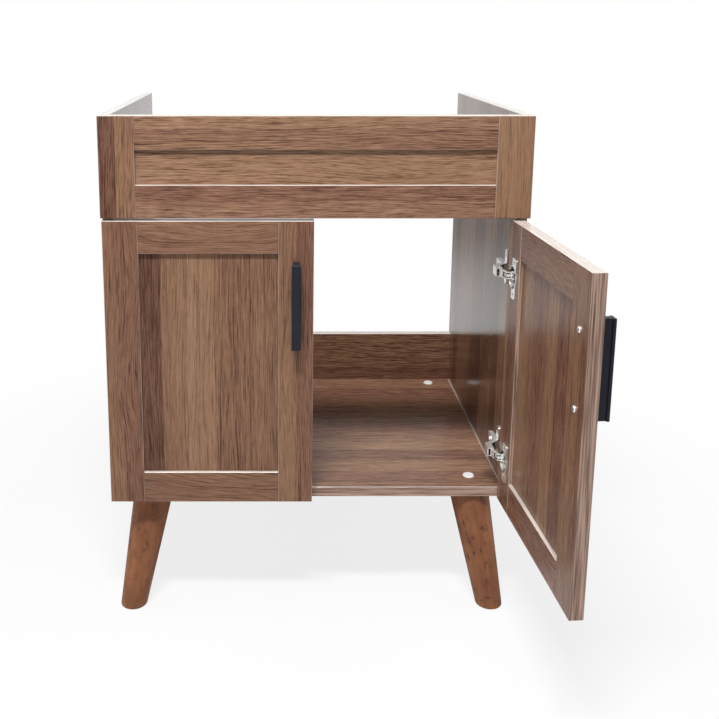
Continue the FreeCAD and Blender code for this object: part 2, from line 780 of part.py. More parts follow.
def cup_pins(side):
    """The pins that each cup carries: two stubs for the outer link and one through pin for the inner link."""
    sx = SIDES[side]
    solids = []
    for z in hinge_levels.values():
        solids += stub_pins(sx, outer_cup_pin, z, side_low, cheek_high)
        solids.append(rod(hinge_pin_radius, in_plan(sx, inner_cup_pin, z - tab_high), UP, 2 * tab_high))
    return Part.makeCompound(solids)


def cup_screws(side):
    sx = SIDES[side]
    return Part.makeCompound([wood_screw(p, V(0, -1, 0), cup_screw_length)
                              for z in hinge_levels.values() for p in cup_screws_at(sx, z)])


def outer_link(side, z):
    """A bent link pressed from sheet: two sides round the inner link, joined by a web along its back."""
    sx = SIDES[side]
    arm_pin = in_plan(sx, outer_arm_pin, z)
    elbow = in_plan(sx, outer_elbow, z)
    cup_pin = in_plan(sx, outer_cup_pin, z)
    solids = []
    for z0 in (z + side_low, z - side_high):
        z1 = z0 + sheet_thickness
        solids.append(capsule(arm_pin, elbow, link_half_width, z0, z1))
        solids.append(capsule(elbow, cup_pin, link_half_width, z0, z1))
        for pin in (arm_pin, cup_pin):
            solids.append(rod(link_eye_radius, V(pin.x, pin.y, z0), UP, sheet_thickness))
    along = V(elbow.x - arm_pin.x, elbow.y - arm_pin.y, 0)
    length = along.Length
    along.normalize()
    away = V(sx * along.y, -sx * along.x, 0)
    start = arm_pin + along * (link_eye_radius + layer_gap)
    end = start + along * (length / 2)
    web_low = link_half_width + 2 * layer_gap
    web = [start + away * (link_half_width / 2), end + away * (link_half_width / 2),
           end + away * (web_low + sheet_thickness), start + away * (web_low + sheet_thickness)]
    web = [V(p.x, p.y, z - side_high) for p in web]
    channel = Part.Face(Part.makePolygon(web + web[:1])).extrude(UP * (2 * side_high))
    inside = [start + away * -link_half_width, end + away * -link_half_width, end + away * web_low,
              start + away * web_low]
    inside = [V(p.x, p.y, z - side_low) + along * (-1 if k in (0, 3) else 1) for k, p in enumerate(inside)]
    hollow = Part.Face(Part.makePolygon(inside + inside[:1])).extrude(UP * (2 * side_low))
    link = fuse(solids[:4] + [cut(channel, [hollow])] + solids[4:])
    holes = [rod(hinge_pin_radius + running_fit, V(p.x, p.y, z - side_high), UP, 2 * side_high)
             for p in (arm_pin, cup_pin)]
    return cut(link, holes)


def inner_link(side, z):
    """A bent flat link between the outer link's sides; its cup eye has play round the pin."""
    sx = SIDES[side]
    arm_pin = in_plan(sx, inner_arm_pin, z)
    elbow = in_plan(sx, inner_elbow, z)
    cup_pin = in_plan(sx, inner_cup_pin, z)
    z0 = z - inner_link_half_height
    z1 = z + inner_link_half_height
    solids = [
        capsule(arm_pin, elbow, link_half_width, z0, z1),
        capsule(elbow, cup_pin, link_half_width, z0, z1),
        rod(link_eye_radius, V(arm_pin.x, arm_pin.y, z0), UP, z1 - z0),
        rod(inner_cup_eye_radius, V(cup_pin.x, cup_pin.y, z0), UP, z1 - z0),
    ]
    holes = [
        rod(hinge_pin_radius + running_fit, V(arm_pin.x, arm_pin.y, z0), UP, z1 - z0),
        rod(hinge_pin_radius + inner_cup_eye_play, V(cup_pin.x, cup_pin.y, z0), UP, z1 - z0),
    ]
    return cut(fuse(solids), holes)


def hinge_arm(side, z):
    """A channel that sits over the mounting plate's boss, with a raised nose whose cheeks hold the link pins."""
    sx = SIDES[side]
    web_low = mount_boss_height
    web_high = web_low + arm_web
    nose_u = inner_arm_pin[0] + link_eye_radius + layer_gap
    nose_top = nose_u + arm_web
    front_w = outer_arm_pin[1] - link_eye_radius - layer_gap
    back_w = inner_arm_pin[1] + link_eye_radius
    low_u = outer_arm_pin[0] - link_eye_radius

    def prism(points, low, high):
        ring = [in_plan(sx, p, z + low) for p in points]
        return Part.Face(Part.makePolygon(ring + ring[:1])).extrude(UP * (high - low))

    cheek = [
        (arm_tail_low, arm_tail_end),
        (web_high, arm_tail_end),
        (web_high, arm_nose_start),
        (nose_top, back_w),
        (nose_top, front_w),
        (low_u, front_w),
        (low_u, inner_arm_pin[1]),
        (arm_tail_low, arm_nose_start),
    ]
    # the web follows the cheeks' upper edge and stops short of the links' swing at the nose
    web = [
        (web_low, arm_tail_end),
        (web_high, arm_tail_end),
        (web_high, arm_nose_start),
        (nose_top, back_w),
        (nose_top, front_w),
        (nose_u, front_w),
        (nose_u, back_w),
        (web_low, arm_nose_start),
    ]
    solids = [prism(cheek, cheek_low, cheek_high), prism(cheek, -cheek_high, -cheek_low),
              prism(web, -cheek_high, cheek_high)]
    holes = []
    for place in (outer_arm_pin, inner_arm_pin):
        holes.append(rod(hinge_pin_radius + fixed_fit, in_plan(sx, place, z - cheek_high), UP, 2 * cheek_high))
    for w in arm_screw_rows:
        holes.append(rod(arm_screw_radius + fixed_fit, in_plan(sx, (web_high, w), z), V(sx, 0, 0), arm_web))
    return cut(fuse(solids), holes)


def arm_pins():
    """The pins that each arm carries: two stubs for the outer link and one through pin for the inner link."""
    solids = []
    for sx in SIDES.values():
        for z in hinge_levels.values():
            solids += stub_pins(sx, outer_arm_pin, z, side_low, cheek_high)
            solids.append(rod(hinge_pin_radius, in_plan(sx, inner_arm_pin, z - cheek_high), UP, 2 * cheek_high))
    return Part.makeCompound(solids)


def arm_screws():
    """Screws that clamp each arm on its plate and set its place."""
    solids = []
    for sx in SIDES.values():
        for z in hinge_levels.values():
            for w in arm_screw_rows:
                seat = in_plan(sx, (mount_boss_height + arm_web, w), z)
                shank = rod(arm_screw_radius, seat, V(sx, 0, 0), arm_web + arm_screw_depth)
                head = rod(arm_screw_head_radius, seat, V(-sx, 0, 0), arm_screw_head_height)
                end = seat + V(-sx * arm_screw_head_height, 0, 0)
                reach = arm_screw_head_radius * 0.65
                half = screw_cross_width / 2
                recess = [
                    box(end.x, end.x + sx * screw_cross_depth, end.y - reach, end.y + reach, z - half, z + half),
                    box(end.x, end.x + sx * screw_cross_depth, end.y - half, end.y + half, z - reach, z + reach),
                ]
                solids.append(cut(fuse([shank, head]), recess))
    return Part.makeCompound(solids)


def mounting_plate(side, z):
    """A winged plate on the side panel, with a boss that the arm sits over."""
    sx = SIDES[side]
    boss_half = cheek_low - layer_gap
    foot = in_plan(sx, (0, mount_boss_start), z)
    boss = box(foot.x, foot.x - sx * mount_boss_height, foot.y, foot.y + mount_boss_end - mount_boss_start,
               z - boss_half, z + boss_half)
    wing_face = rounded_plate(mount_wing_span, mount_wing_width, mount_wing_width / 2 - layer_gap)
    wing = wing_face.extrude(UP * mount_wing_thickness)
    wing.Placement = FreeCAD.Placement(in_plan(sx, (0, mount_screw_row), z),
                                       FreeCAD.Rotation(UP, V(0, 1, 0), V(-sx, 0, 0), "ZXY"))
    holes = [screw_hole(p, V(sx, 0, 0), plate_screw_length) for p in plate_screws_at(sx, z)]
    for w in arm_screw_rows:
        holes.append(rod(arm_screw_radius + fixed_fit, in_plan(sx, (mount_boss_height, w), z), V(sx, 0, 0),
                         arm_screw_depth + fixed_fit))
    return cut(fuse([boss, wing]), holes)


def plate_screws():
    return Part.makeCompound([wood_screw(p, V(sx, 0, 0), plate_screw_length) for sx in SIDES.values()
                              for z in hinge_levels.values() for p in plate_screws_at(sx, z)])


def turned(shape, place, sx, angle):
    """A copy of a shape turned in plan about a hinge pin, opening the door of that side where positive."""
    moved = shape.copy()
    moved.rotate(in_plan(sx, place, 0), UP, sx * angle)
    return moved


def at_rest(shape, side, body):
    """Carry a piece built with its door closed to where it is with the door at its rest turn."""
    sx = SIDES[side]
    turn = REST_ANGLE[side]
    if body == "inner_link":
        return turned(shape, inner_arm_pin, sx, turn * inner_link_ratio)
    if body == "door":
        shape = turned(shape, outer_cup_pin, sx, turn * (1 - outer_link_ratio))
    return turned(shape, outer_arm_pin, sx, turn * outer_link_ratio)


def carcass_nodes():
    nodes = {
        "left_side_panel": side_panel(-1),
        "right_side_panel": side_panel(1),
        "bottom_panel": bottom_panel(),
        "back_rail": back_rail(),
        "board_dowels": dowels(),
        "cam_locks": cam_locks(),
        "cam_bolts": cam_bolts(),
        "apron_brackets": apron_brackets(),
        "apron_bracket_screws": bracket_screws(),
        "leg_inserts": leg_inserts(),
        "leg_bolts": leg_bolts(),
        "leg_bolt_caps": leg_bolt_caps(),
        "hinge_plate_screws": plate_screws(),
        "hinge_arm_screws": arm_screws(),
        "hinge_arm_pins": arm_pins(),
    }
    nodes.update(apron_nodes())
    for name, place, sx, sy in leg_places():
        nodes[name] = leg(place, sx, sy)
    for side in SIDES:
        for level, z in hinge_levels.items():
            nodes[f"{side}_{level}_hinge_plate"] = mounting_plate(side, z)
            nodes[f"{side}_{level}_hinge_arm"] = hinge_arm(side, z)
    return nodes


def moving_nodes():
    """The doors and the hinge links, each where it is at rest."""
    nodes = {}
    for side in SIDES:
        door = door_nodes(side)
        door[f"{side}_door_pull"] = pull(side)
        door[f"{side}_door_pull_screws"] = pull_screws(side)
        door[f"{side}_hinge_cup_pins"] = cup_pins(side)
        door[f"{side}_hinge_cup_screws"] = cup_screws(side)
        for level, z in hinge_levels.items():
            door[f"{side}_{level}_hinge_cup"] = hinge_cup(side, z)
        outer = Part.makeCompound([outer_link(side, z) for z in hinge_levels.values()])
        inner = Part.makeCompound([inner_link(side, z) for z in hinge_levels.values()])
        nodes[f"{side}_outer_links"] = at_rest(outer, side, "outer_link")
        nodes[f"{side}_inner_links"] = at_rest(inner, side, "inner_link")
        for name, shape in door.items():
            nodes[name] = at_rest(shape, side, "door")
    return nodes


def main():
    os.makedirs("parts", exist_ok=True)
    for name, shape in {**carcass_nodes(), **moving_nodes()}.items():
        shape.exportStep(f"parts/{name}.step")


main()
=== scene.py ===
"""Looks for a free-standing vanity cabinet: walnut boards, stained legs, black pulls and plated hinges."""

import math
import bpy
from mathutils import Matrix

bl_info = {
    "name": "Vanity cabinet looks",
    "version": (1, 0, 0),
    "blender": (4, 5, 0),
    "location": "View3D > Sidebar > Vanity",
    "description": "Finishes, stage and camera for a vanity cabinet with framed doors",
    "category": "Object",
}

from typing import NamedTuple

import bpy
from bpy.props import FloatProperty, FloatVectorProperty, PointerProperty
from mathutils import Vector

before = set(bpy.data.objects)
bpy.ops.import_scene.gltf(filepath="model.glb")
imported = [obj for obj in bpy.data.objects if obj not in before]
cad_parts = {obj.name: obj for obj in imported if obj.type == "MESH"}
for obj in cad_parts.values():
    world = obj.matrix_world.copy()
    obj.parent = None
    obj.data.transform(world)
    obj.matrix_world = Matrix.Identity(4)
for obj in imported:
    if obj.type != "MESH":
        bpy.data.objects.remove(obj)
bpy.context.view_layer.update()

AXES = "XYZ"
SIDES = ("left", "right")
WHITE = (1.0, 1.0, 1.0)
NOISE_MEAN = 0.5
RAMP_MIDDLE = 0.5


class VanityFinish(bpy.types.PropertyGroup):
    """Colours and surface values of the cabinet's finishes."""

    walnut_dark: FloatVectorProperty(
        name="Walnut dark", description="Darkest streaks of the walnut boards", subtype="COLOR",
        default=(0.066, 0.026, 0.016), min=0, max=1)
    walnut_mid: FloatVectorProperty(
        name="Walnut middle", description="Main tone of the walnut boards", subtype="COLOR",
        default=(0.233, 0.117, 0.079), min=0, max=1)
    walnut_gold: FloatVectorProperty(
        name="Walnut gold", description="Main tone of the yellower strips", subtype="COLOR",
        default=(0.249, 0.137, 0.079), min=0, max=1)
    walnut_light: FloatVectorProperty(
        name="Walnut light", description="Palest bands of the walnut boards", subtype="COLOR",
        default=(0.412, 0.250, 0.166), min=0, max=1)
    edge_dark: FloatVectorProperty(
        name="Edge dark", description="Dark grain of the band on the boards' edges", subtype="COLOR",
        default=(0.120, 0.066, 0.046), min=0, max=1)
    edge_light: FloatVectorProperty(
        name="Edge light", description="Pale grain of the band on the boards' edges", subtype="COLOR",
        default=(0.520, 0.375, 0.305), min=0, max=1)
    # This colour is also a painted highlight on the upward-facing edges of the boards
    bare_and_highlit_edge: FloatVectorProperty(
        name="Bare edge", description="Upper edges and arrises, where the finish is thin", subtype="COLOR",
        default=(0.640, 0.570, 0.515), min=0, max=1)
    end_line: FloatProperty(
        name="End line", description="Width of the bare line where a board's end meets another board",
        unit="LENGTH", default=0.0024, min=0, max=0.02)
    walnut_roughness: FloatProperty(
        name="Walnut roughness", description="How matt the melamine is", subtype="FACTOR",
        default=0.22, min=0, max=1)
    side_roughness: FloatProperty(
        name="Side roughness", description="How matt the harder melamine of the side panels is",
        subtype="FACTOR", default=0.12, min=0, max=1)
    strip_width: FloatProperty(
        name="Strip width", description="Width of the strips that a board's figure is made of",
        unit="LENGTH", default=0.038, min=0.005, max=0.2)
    growth_spacing: FloatProperty(
        name="Growth spacing", description="Distance between the growth lines",
        unit="LENGTH", default=0.021, min=0.002, max=0.1)
    leg_lean: FloatProperty(
        name="Leg lean", description="How far a leg's grain leans outwards for each metre of height",
        default=0.18, min=0, max=1)
    stain_dark: FloatVectorProperty(
        name="Stain dark", description="Dark grain of the stained legs", subtype="COLOR",
        default=(0.110, 0.042, 0.022), min=0, max=1)
    stain_light: FloatVectorProperty(
        name="Stain light", description="Pale grain of the stained legs", subtype="COLOR",
        default=(0.285, 0.116, 0.054), min=0, max=1)
    pull_black: FloatVectorProperty(
        name="Pull black", description="Black anodised pulls", subtype="COLOR",
        default=(0.0115, 0.0125, 0.0215), min=0, max=1)
    nickel: FloatVectorProperty(
        name="Nickel", description="Plated hinges, screws and bolts", subtype="COLOR",
        default=(0.95, 0.94, 0.92), min=0, max=1)
    zinc: FloatVectorProperty(
        name="Zinc", description="Zinc plated brackets, cams and pins", subtype="COLOR",
        default=(0.58, 0.58, 0.575), min=0, max=1)
    brass: FloatVectorProperty(
        name="Brass", description="Threaded inserts", subtype="COLOR",
        default=(0.70, 0.53, 0.27), min=0, max=1)
    beech: FloatVectorProperty(
        name="Beech", description="Dowels", subtype="COLOR",
        default=(0.60, 0.43, 0.26), min=0, max=1)
    cap_white: FloatVectorProperty(
        name="Cap white", description="Plastic caps over the leg bolts", subtype="COLOR",
        default=(0.83, 0.83, 0.81), min=0, max=1)


class VanityStage(bpy.types.PropertyGroup):
    """Camera, floor and lamps."""

    camera_place: FloatVectorProperty(
        name="Camera place", description="Where the camera stands", subtype="TRANSLATION", unit="LENGTH",
        default=(-0.05725, -1.51575, 0.86582))
    camera_pitch: FloatProperty(
        name="Camera pitch", description="How far the camera looks down", subtype="ANGLE", default=0.196475)
    lens: FloatProperty(
        name="Lens", description="Focal length in millimetres", default=46.58, min=10, max=200)
    shift_x: FloatProperty(name="Shift X", description="Sideways shift of the lens", default=0.1186)
    shift_y: FloatProperty(name="Shift Y", description="Upward shift of the lens", default=-0.2)
    floor_size: FloatProperty(
        name="Floor size", description="Side of the square floor", unit="LENGTH", default=24.0, min=2)
    floor_white: FloatVectorProperty(
        name="Floor white", description="Colour of the floor", subtype="COLOR",
        default=(0.82, 0.82, 0.82), min=0, max=1)
    # The floor's gleam ring is a painted pool of light and its dusk a painted shadow of the cabinet, both
    # seen only by mirror-like surfaces
    floor_gleam: FloatProperty(
        name="Floor gleam", description="Share of white that mirror-like surfaces see in a ring on the floor",
        subtype="FACTOR", default=0.80, min=0, max=1)
    floor_dusk: FloatProperty(
        name="Floor dusk", description="The same share inside the ring, and outside it up to the backdrop",
        subtype="FACTOR", default=0.12, min=0, max=1)
    sky: FloatProperty(
        name="Sky", description="Strength of the even light from all sides", default=0.085, min=0, max=4)
    key_power: FloatProperty(
        name="Key power", description="Power of the lamp above the front", unit="POWER", default=66.0, min=0)
    fill_power: FloatProperty(
        name="Fill power", description="Power of the lamp in front", unit="POWER", default=6.0, min=0)
    top_power: FloatProperty(
        name="Top power", description="Power of the lamp overhead", unit="POWER", default=6.0, min=0)
    side_power: FloatProperty(
        name="Side power", description="Power of each lamp at the sides", unit="POWER", default=22.0, min=0)


class Layer(NamedTuple):
    """One layer of noise: cells per metre on three axes, octaves, their roughness, and a shift in cells."""

    cells: tuple
    detail: float = 2.0
    roughness: float = 0.5
    shift: float = 0.0


class Value:
    """A number that varies over a surface: a socket with Python's arithmetic."""

    def __init__(self, graph, socket):
        self.graph = graph
        self.socket = socket

    def _math(self, operation, first, second=0.0):
        return self.graph.value("ShaderNodeMath", {"operation": operation}, {0: first, 1: second})

    def __add__(self, other):
        return self._math("ADD", self, other)

    __radd__ = __add__

    def __sub__(self, other):
        return self._math("SUBTRACT", self, other)

    def __rsub__(self, other):
        return self._math("SUBTRACT", other, self)

    def __mul__(self, other):
        return self._math("MULTIPLY", self, other)

    __rmul__ = __mul__

    def __truediv__(self, other):
        return self._math("DIVIDE", self, other)

    def __rtruediv__(self, other):
        return self._math("DIVIDE", other, self)

    def floor(self):
        return self._math("FLOOR", self)

    def sine(self):
        return self._math("SINE", self)

    def centred(self):
        """Noise moved down so that it lies around zero."""
        return self - NOISE_MEAN

    def clamped(self):
        return self.graph.value("ShaderNodeClamp", {}, {"Value": self})


class Graph:
    """The nodes of one material, each added by one method."""

    def __init__(self, tree):
        self.tree = tree

    def node(self, kind, settings, sockets):
        made = self.tree.nodes.new(kind)
        for name, setting in settings.items():
            if name == "stops":
                ramp = made.color_ramp
                while len(ramp.elements) < len(setting):
                    ramp.elements.new(RAMP_MIDDLE)
                for stop, (place, colour) in zip(ramp.elements, setting):
                    stop.position = place
                    stop.color = opaque(colour)
            else:
                setattr(made, name, setting)
        for key, item in sockets.items():
            if isinstance(item, Value):
                self.tree.links.new(item.socket, made.inputs[key])
            else:
                made.inputs[key].default_value = item
        return made

    def value(self, kind, settings, sockets, output=0):
        return Value(self, self.node(kind, settings, sockets).outputs[output])

    def layer(self, layer, x, y, z, shift=0.0):
        """The noise of one layer at a place on the piece."""
        cells = layer.cells
        spot = self.value("ShaderNodeCombineXYZ", {}, {
            "X": x * cells[0], "Y": y * cells[1], "Z": z * cells[2] + (layer.shift + shift)})
        return self.value("ShaderNodeTexNoise", {"noise_dimensions": "3D"}, {
            "Vector": spot, "Scale": 1.0, "Detail": layer.detail, "Roughness": layer.roughness})

    def step(self, value, rise):
        """0 below the start of a rise and 1 above its end, and smooth between them."""
        low, high = rise
        return self.value("ShaderNodeMapRange", {"interpolation_type": "SMOOTHSTEP", "clamp": True}, {
            "Value": value, "From Min": low, "From Max": high, "To Min": 0.0, "To Max": 1.0})

    def tones(self, value, places, colours):
        """Colours that lie at given places of a value, and blend between them."""
        return self.value("ShaderNodeValToRGB", {"stops": list(zip(places, colours))}, {"Fac": value})

    def blend(self, factor, first, second, kind="MIX"):
        return self.value("ShaderNodeMix", {"data_type": "RGBA", "blend_type": kind},
                          {0: factor, 6: first, 7: second}, 2)

    def bump(self, height, strength, depth):
        return self.value("ShaderNodeBump", {}, {"Strength": strength, "Distance": depth, "Height": height})


def opaque(colour):
    """A colour with its alpha."""
    return (*colour, 1.0)


def scaled(colour, share):
    """A colour made darker or paler."""
    return tuple(part * share for part in colour)


def new_surface(name, sockets):
    """A material with a Principled shader, ready for its varying inputs."""
    material = bpy.data.materials.new(name)
    material.use_nodes = True
    tree = material.node_tree
    shader = next(node for node in tree.nodes if node.type == "BSDF_PRINCIPLED")
    for key, item in sockets.items():
        shader.inputs[key].default_value = item

    def connect(**links):
        for key, item in links.items():
            tree.links.new(item.socket, shader.inputs[key.replace("_", " ")])
        return material

    return Graph(tree), connect


def turned_axes(graph, coordinate, turn):
    """X, Y and Z of a coordinate, turned about the vertical for a piece that stands at an angle."""
    vector = graph.value("ShaderNodeTexCoord", {}, {}, coordinate)
    if turn:
        vector = graph.value("ShaderNodeVectorRotate", {"rotation_type": "Z_AXIS"},
                             {"Vector": vector, "Angle": turn})
    split = graph.node("ShaderNodeSeparateXYZ", {}, {"Vector": vector})
    return [Value(graph, split.outputs[axis]) for axis in AXES]


def places(graph):
    """X, Y and Z on the piece itself."""
    return turned_axes(graph, "Object", 0.0)


class Board(NamedTuple):
    """How one walnut board is cut and finished.

    grain is the axis that the grain runs along, and face the axis that the broad face looks along.
    seed picks a place in the pattern, and turn is how far the board stands turned about the vertical.
    tone makes the figure paler and contrast stronger. sway is how far the figure wanders to the side,
    in metres, and strips how much the strips differ in tone. ends is how far from the middle the
    board's ends are, where a bare line shows at each, or 0 for none. A glossy board has the harder
    melamine.
    """

    grain: str
    face: str
    seed: float = 0.0
    turn: float = 0.0
    tone: float = 0.0
    contrast: float = 1.0
    sway: float = 0.045
    strips: float = 0.34
    ends: float = 0.0
    glossy: bool = False


class Figure(NamedTuple):
    """The layers of a board's figure, each a value on its surface."""

    strip: Value
    broad: Value
    bands: Value
    fibre: Value
    flecks: Value
    lines: Value
    pores: Value


# Walnut: where each seed lies in the pattern, in metres along and across the grain and in strips
SEED_ALONG = 1.37
SEED_ACROSS = 0.173
SEED_STRIPS = 3.1

# Walnut: layers along the grain, across it and through the board
DRIFT = Layer((2.2, 9.0, 9.0))
WANDER = Layer((10.0, 50.0, 30.0), detail=1.0)
BROAD = Layer((1.3, 16.0, 12.0), shift=5.0)
BANDS = Layer((2.4, 90.0, 60.0), detail=3.0, roughness=0.55)
FIBRE = Layer((16.0, 860.0, 860.0), roughness=0.6)
FLECKS = Layer((44.0, 640.0, 640.0), roughness=0.65)
PATCHES = Layer((1.8, 14.0, 9.0), shift=11.0)
EDGE_GRAIN = Layer((9.0, 420.0, 420.0), roughness=0.6)

# Walnut: how far the fine waves and the strips' borders sway, in metres
WAVE_SWAY = 0.0018
STRIP_SWAY = 0.005

# Walnut: growth lines, frayed by the fibre and shown in patches, and pores where flecks lie on dark fibre
LINE_FRAY = 0.8
LINE_RISE = (0.86, 1.0)
PATCH_RISE = (0.42, 0.60)
PORE_FLECKS = (0.56, 0.70)
PORE_FIBRE = (0.36, 0.62)
PORE_SHADE = (0.58, 0.53, 0.50)

# Walnut: how much each layer moves the tone, from 0 for the darkest to 1 for the palest
MIDDLE_TONE = 0.52
BROAD_WEIGHT = 0.24
BANDS_WEIGHT = 0.16
FIBRE_WEIGHT = 0.90
FLECKS_WEIGHT = 0.80
LINES_WEIGHT = 0.14
PALE_FIBRE = (0.38, 0.47)
PALE_WEIGHT = 0.22
DARK_FIBRE = (0.53, 0.62)
DARK_WEIGHT = 0.36
TONE_STOPS = (0.10, 0.50, 0.92)

# Walnut: how the strips and broad clouds share the two hues
STRIP_HUE = 0.6
HUE_RISE = (0.30, 0.70)

# Walnut: gloss and relief
MELAMINE_IOR = 1.5
MATT_SPECULAR = 0.15
GLOSSY_SPECULAR = 0.5
FIBRE_ROUGHNESS = 0.12
PORE_ROUGHNESS = 0.12
FIBRE_HEIGHT = 0.6
LINE_HEIGHT = 0.5
WALNUT_BUMP = 0.14
WALNUT_DEPTH = 0.0004

# Edges: parts of the surface's direction, squared but for the upward one, where each kind begins or ends,
# how much of the board it covers, and the grain in the band and on bare wood and in the painted highlight.
# The upward one is a painted highlight on upward-facing edges, and the seam one is painted shade where rails
# meet stiles
BAND_RISE = (0.40, 0.70)
ARRIS_START = (0.20, 0.40)
ARRIS_END = (0.60, 0.80)
SEAM_SHADE_RISE = (0.20, 0.40)
PAINTED_HIGHLIGHT_RISE = (0.45, 0.68)
BAND_COVER = 0.75
ARRIS_COVER = 0.30
SEAM_SHADE_COVER = 0.6
BAND_STOPS = (0.34, 0.62)
BARE_AND_HIGHLIGHT_STOPS = (0.34, 0.54)
BARE_AND_HIGHLIGHT_DARK = 0.65
END_SOFTNESS = 0.6
END_COVER = 0.7


def walnut_figure(graph, board, along, across, deep):
    """Strips, broad clouds, soft bands, fine fibre, short flecks, growth lines and pores."""
    finish = bpy.context.scene.vanity_finish
    drift = graph.layer(DRIFT, along, across, deep, board.seed).centred()
    wander = graph.layer(WANDER, along, across, deep).centred()
    waved = across + drift * board.sway + wander * WAVE_SWAY
    strip = ((across + drift * STRIP_SWAY) / finish.strip_width).floor() + board.seed * SEED_STRIPS
    fibre = graph.layer(FIBRE, along, waved, deep)
    flecks = graph.layer(FLECKS, along, waved, deep)
    patches = graph.layer(PATCHES, along, across, deep)
    growth = (waved * (math.tau / finish.growth_spacing)).sine() + fibre.centred() * LINE_FRAY
    return Figure(
        strip=graph.value("ShaderNodeTexWhiteNoise", {"noise_dimensions": "1D"}, {"W": strip}),
        broad=graph.layer(BROAD, along, waved, deep),
        bands=graph.layer(BANDS, along, waved, deep),
        fibre=fibre,
        flecks=flecks,
        lines=graph.step(growth, LINE_RISE) * graph.step(patches, PATCH_RISE),
        pores=graph.step(flecks, PORE_FLECKS) * graph.step(fibre, PORE_FIBRE))


def walnut_colour(graph, board, figure):
    """The colour of a board's broad face: two hues that change with the strips, and dark pores."""
    finish = bpy.context.scene.vanity_finish
    strip = figure.strip.centred()
    pale = (1 - graph.step(figure.fibre, PALE_FIBRE)) * PALE_WEIGHT
    dark = graph.step(figure.fibre, DARK_FIBRE) * DARK_WEIGHT
    fine = (figure.bands.centred() * BANDS_WEIGHT + figure.fibre.centred() * FIBRE_WEIGHT + pale - dark
            + figure.flecks.centred() * FLECKS_WEIGHT - figure.lines * LINES_WEIGHT)
    coarse = strip * board.strips + figure.broad.centred() * BROAD_WEIGHT
    tone = coarse + fine * board.contrast + (MIDDLE_TONE + board.tone)
    cool = graph.tones(tone, TONE_STOPS, (finish.walnut_dark, finish.walnut_mid, finish.walnut_light))
    warm = graph.tones(tone, TONE_STOPS, (finish.walnut_dark, finish.walnut_gold, finish.walnut_light))
    colour = graph.blend(graph.step(figure.broad + strip * STRIP_HUE, HUE_RISE), cool, warm)
    shade = graph.tones(figure.pores, (0.0, 1.0), (WHITE, PORE_SHADE))
    return graph.blend(1.0, colour, shade, "MULTIPLY")


def walnut_edges(graph, board, colour, grain):
    """The band on a board's edges, bare arrises, a painted highlight on upward-facing edges, and painted
    shade in the seams where rails meet stiles.
    """
    finish = bpy.context.scene.vanity_finish
    normal = dict(zip(AXES, turned_axes(graph, "Normal", board.turn)))
    facing = normal[board.face] * normal[board.face]
    band = graph.tones(grain, BAND_STOPS, (finish.edge_dark, finish.edge_light))
    colour = graph.blend((1 - graph.step(facing, BAND_RISE)) * BAND_COVER, colour, band)
    arris = graph.step(facing, ARRIS_START) * (1 - graph.step(facing, ARRIS_END))
    bare = arris
    if board.face != "Z":
        bare = arris * ARRIS_COVER
    # Painted shade: chamfers at a board's ends, where rails meet stiles, get the dark walnut colour as the
    # shade in the joint
    if board.face == "Y":
        seam_shade = graph.step(normal[board.grain] * normal[board.grain], SEAM_SHADE_RISE)
        colour = graph.blend(arris * seam_shade * SEAM_SHADE_COVER, colour, opaque(finish.walnut_dark))
        bare = bare * (1 - seam_shade)
    # Upward-facing surfaces take the pale colour too, as a painted highlight
    if board.face != "Z":
        bare = (bare + graph.step(normal["Z"], PAINTED_HIGHLIGHT_RISE)).clamped()
    bare_and_highlight_tint = graph.tones(grain, BARE_AND_HIGHLIGHT_STOPS, (scaled(finish.bare_and_highlit_edge, BARE_AND_HIGHLIGHT_DARK), finish.bare_and_highlit_edge))
    return graph.blend(bare, colour, bare_and_highlight_tint)


def bare_ends(graph, board, colour, along):
    """A bare line across the board at each of its ends."""
    finish = bpy.context.scene.vanity_finish
    inner = board.ends - finish.end_line
    outer = board.ends - finish.end_line * END_SOFTNESS
    line = graph.step(along * along, (inner ** 2, outer ** 2))
    return graph.blend(line * END_COVER, colour, opaque(finish.bare_and_highlit_edge))


def walnut(name, board):
    """Walnut figure on melamine, with a paler band on the board's edges and bare arrises."""
    finish = bpy.context.scene.vanity_finish
    specular = GLOSSY_SPECULAR if board.glossy else MATT_SPECULAR
    matt = finish.side_roughness if board.glossy else finish.walnut_roughness
    graph, connect = new_surface(name, {"IOR": MELAMINE_IOR, "Specular IOR Level": specular})
    place = dict(zip(AXES, turned_axes(graph, "Object", board.turn)))
    side = next(axis for axis in AXES if axis not in (board.grain, board.face))
    along = place[board.grain] + board.seed * SEED_ALONG
    across = place[side] + board.seed * SEED_ACROSS
    deep = place[board.face]
    figure = walnut_figure(graph, board, along, across, deep)
    colour = walnut_colour(graph, board, figure)
    colour = walnut_edges(graph, board, colour, graph.layer(EDGE_GRAIN, along, across, deep))
    if board.ends:
        colour = bare_ends(graph, board, colour, place[board.grain])
    rough = figure.fibre.centred() * FIBRE_ROUGHNESS + figure.pores * PORE_ROUGHNESS + matt
    height = figure.fibre * FIBRE_HEIGHT - figure.pores - figure.lines * LINE_HEIGHT
    return connect(Base_Color=colour, Roughness=rough, Normal=graph.bump(height, WALNUT_BUMP, WALNUT_DEPTH))


# Legs: layers across the leg and along it, and where each seed lies in the pattern
LEG_DRIFT = Layer((18.0, 18.0, 3.0))
LEG_RINGS = Layer((70.0, 70.0, 2.4), detail=3.0, roughness=0.55)
LEG_FIBRE = Layer((300.0, 300.0, 12.0), detail=3.0, roughness=0.65)
LEG_CLOUD = Layer((34.0, 34.0, 16.0), detail=3.0, roughness=0.6)
LEG_SMUDGE = Layer((110.0, 110.0, 60.0), roughness=0.6)
RING_SWAY = 2.0 / 70.0
LEG_SEED_X = 0.31
LEG_SEED_Y = 0.17

